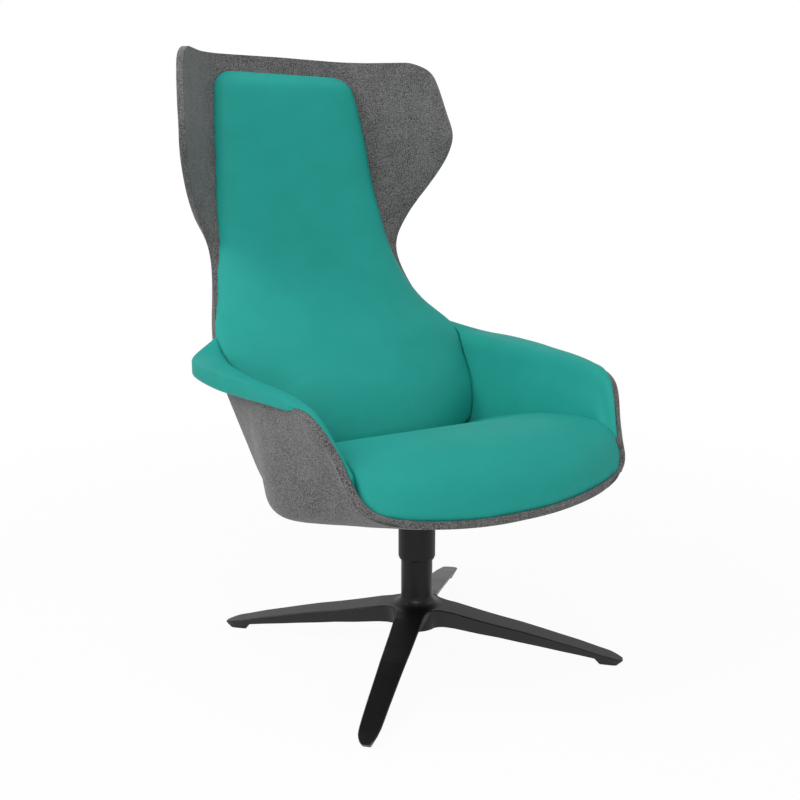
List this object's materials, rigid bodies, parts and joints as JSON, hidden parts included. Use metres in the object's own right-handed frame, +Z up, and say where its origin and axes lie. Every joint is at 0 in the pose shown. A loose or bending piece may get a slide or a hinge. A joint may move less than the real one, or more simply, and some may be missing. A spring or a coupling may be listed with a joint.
{
  "type": "acoustic high back lounge chair",
  "caption": "High back lounge chair: a winged felt shell with upholstered seat, back and arm pads on a swivelling star base.",
  "frame": {"origin": "on the floor, under the middle of the bounding box of the whole chair", "axes": "+Z up; the seat faces -Y; +X towards the right-hand side as seen from the front"},
  "size_m": [0.6864, 0.851, 1.1055],
  "materials": {
    "black_coated_metal": "satin black powder coat",
    "black_plastic": "fine matt moulding",
    "white_acetal": "machined, smooth",
    "birch_plywood": "sanded, unfinished",
    "grey_felt": "pressed mottled felt",
    "teal_cloth": "fine plain weave",
    "zinc_steel": "bright zinc plating"
  },
  "bodies": {
    "base": {"star_base": "black_coated_metal", "glide_front_left": "black_plastic", "glide_front_right": "black_plastic", "glide_rear_left": "black_plastic", "glide_rear_right": "black_plastic", "base_plug": "black_plastic", "upper_bush": "white_acetal", "lower_bush": "white_acetal", "thrust_washer": "white_acetal"},
    "seat": {"spindle": "zinc_steel", "retainer_washer": "zinc_steel", "retaining_clip": "zinc_steel", "column_sleeve": "black_plastic", "seat_mount_plate": "black_coated_metal", "seat_board": "birch_plywood", "mount_bolt_front_left": "zinc_steel", "mount_bolt_front_right": "zinc_steel", "mount_bolt_rear_left": "zinc_steel", "mount_bolt_rear_right": "zinc_steel", "mount_nut_front_left": "zinc_steel", "mount_nut_front_right": "zinc_steel", "mount_nut_rear_left": "zinc_steel", "mount_nut_rear_right": "zinc_steel", "felt_shell": "grey_felt", "back_board": "birch_plywood", "seat_cushion": "teal_cloth", "back_cushion": "teal_cloth", "arm_pad_left": "teal_cloth", "arm_pad_right": "teal_cloth"}
  },
  "joints": [
    {"name": "seat_swivel", "type": "hinge", "parent": "base", "child": "seat", "pos_m": [0, -0.11586, 0.2], "axis": [0, 0, 1], "continuous": true}
  ]
}
